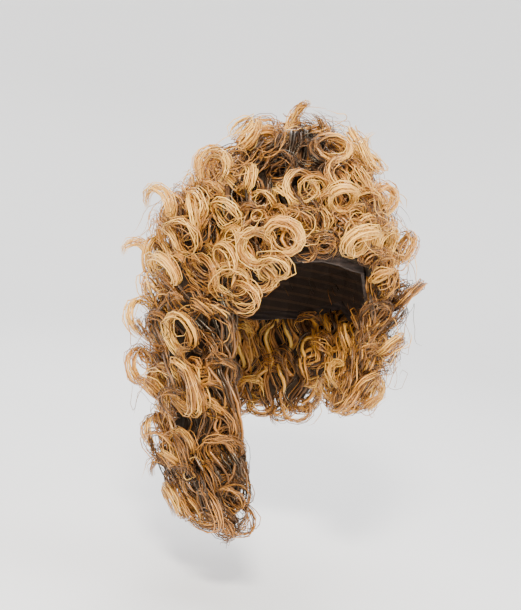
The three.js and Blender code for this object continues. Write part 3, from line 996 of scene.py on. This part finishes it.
studio = {
    "floor": -0.40, "paper": (0.94, 0.94, 0.94), "darker": 0.97, "grain": 3, "flat": 1.6, "rise": 4.0,
    "height": 3.5, "rings": 24, "spokes": 64, "sky": (0.92, 0.94, 1.0, 1), "skyStrength": 0.5,
}
lights = {
    # place, aim, size, power and colour
    "key": ((-0.7, -1.5, 1.0), (0, 0, -0.08), 0.35, 72, (1.0, 0.95, 0.87)),
    "fill": ((1.3, -1.2, 0.4), (0, 0, -0.12), 0.8, 16, (0.96, 0.98, 1.0)),
    "rim": ((0.4, 1.4, 1.2), (0, 0, -0.05), 0.8, 26, (1, 1, 1)),
    "top": ((0, 0.2, 2.6), (0, 0, 0), 2.6, 62, (1, 1, 1)),
}


def paperBowl():
    # a round sheet of paper that rises evenly all round, so that no edge shows
    rings, spokes = studio["rings"], studio["spokes"]
    corners, faces = [(0, 0, studio["floor"])], []
    for j in range(1, rings + 1):
        t = j / rings
        radius = studio["rise"] * t
        lift = studio["height"] * ease((radius - studio["flat"]) / (studio["rise"] - studio["flat"])) ** 1.5
        for i in range(spokes):
            turn = 2 * math.pi * i / spokes
            corners.append((radius * math.cos(turn), radius * math.sin(turn), studio["floor"] + lift))
    for i in range(spokes):
        k = (i + 1) % spokes
        faces.append((0, 1 + i, 1 + k))
        for j in range(rings - 1):
            a, b = 1 + j * spokes, 1 + (j + 1) * spokes
            faces.append((a + i, b + i, b + k, a + k))
    mesh = bpy.data.meshes.new("paper")
    mesh.from_pydata(corners, [], faces)
    for face in mesh.polygons:
        face.use_smooth = True
    material, start, shader = newMaterial("palePaper", {"Roughness": 0.9})
    place = start.put("ShaderNodeTexCoord", {}, {}, "Object")
    grain = start.put("ShaderNodeTexNoise", {}, {
        "Vector": place, "Scale": studio["grain"], "Detail": 2}, "Fac")
    colour = start.put("ShaderNodeMix", {"data_type": "RGBA"}, {
        0: grain, 6: (*studio["paper"], 1), 7: (*(c * studio["darker"] for c in studio["paper"]), 1)}, 2)
    colour.into(shader.inputs["Base Color"])
    mesh.materials.append(material)
    thing = bpy.data.objects.new("paper", mesh)
    bpy.context.scene.collection.objects.link(thing)


def areaLight(name, place, aim, size, power, colour):
    light = bpy.data.lights.new(name, "AREA")
    light.shape = "DISK"
    light.size = size
    light.energy = power
    light.color = colour
    thing = bpy.data.objects.new(name, light)
    thing.location = place
    thing.rotation_euler = (Vector(aim) - Vector(place)).to_track_quat("-Z", "Y").to_euler()
    bpy.context.scene.collection.objects.link(thing)


def sky():
    world = bpy.data.worlds.new("studio")
    bpy.context.scene.world = world
    world.use_nodes = True
    background = world.node_tree.nodes["Background"]
    background.inputs["Color"].default_value = studio["sky"]
    background.inputs["Strength"].default_value = studio["skyStrength"]


shot = {
    "azimuth": -20, "elevation": 7, "roll": 8, "distance": 1.5, "width": 0.521,
    "target": (0, 0, -0.110), "shift": (-0.0225, 0),  # the target's place off the middle of the picture
    "sensor": 36,
}


def photoCamera():
    turn, rise, roll = (math.radians(shot[k]) for k in ("azimuth", "elevation", "roll"))
    right = Vector((math.cos(turn), math.sin(turn), 0))
    ahead = Vector((-math.sin(turn) * math.cos(rise), math.cos(turn) * math.cos(rise), -math.sin(rise)))
    up = right.cross(ahead)
    tiltedRight = right * math.cos(roll) + up * math.sin(roll)
    tiltedUp = up * math.cos(roll) - right * math.sin(roll)
    target = Vector(shot["target"]) + tiltedRight * shot["shift"][0] + tiltedUp * shot["shift"][1]
    data = bpy.data.cameras.new("camera")
    data.sensor_fit = "HORIZONTAL"
    data.sensor_width = shot["sensor"]
    data.lens = shot["sensor"] * shot["distance"] / shot["width"]
    thing = bpy.data.objects.new("camera", data)
    axes = [tiltedRight, tiltedUp, -ahead]
    place = target - ahead * shot["distance"]
    thing.matrix_world = Matrix([[*(axis[i] for axis in axes), place[i]] for i in range(3)] + [[0, 0, 0, 1]])
    bpy.context.scene.collection.objects.link(thing)
    bpy.context.scene.camera = thing


print("set the studio and the camera")
paperBowl()
for name, values in lights.items():
    areaLight(name, *values)
sky()
photoCamera()
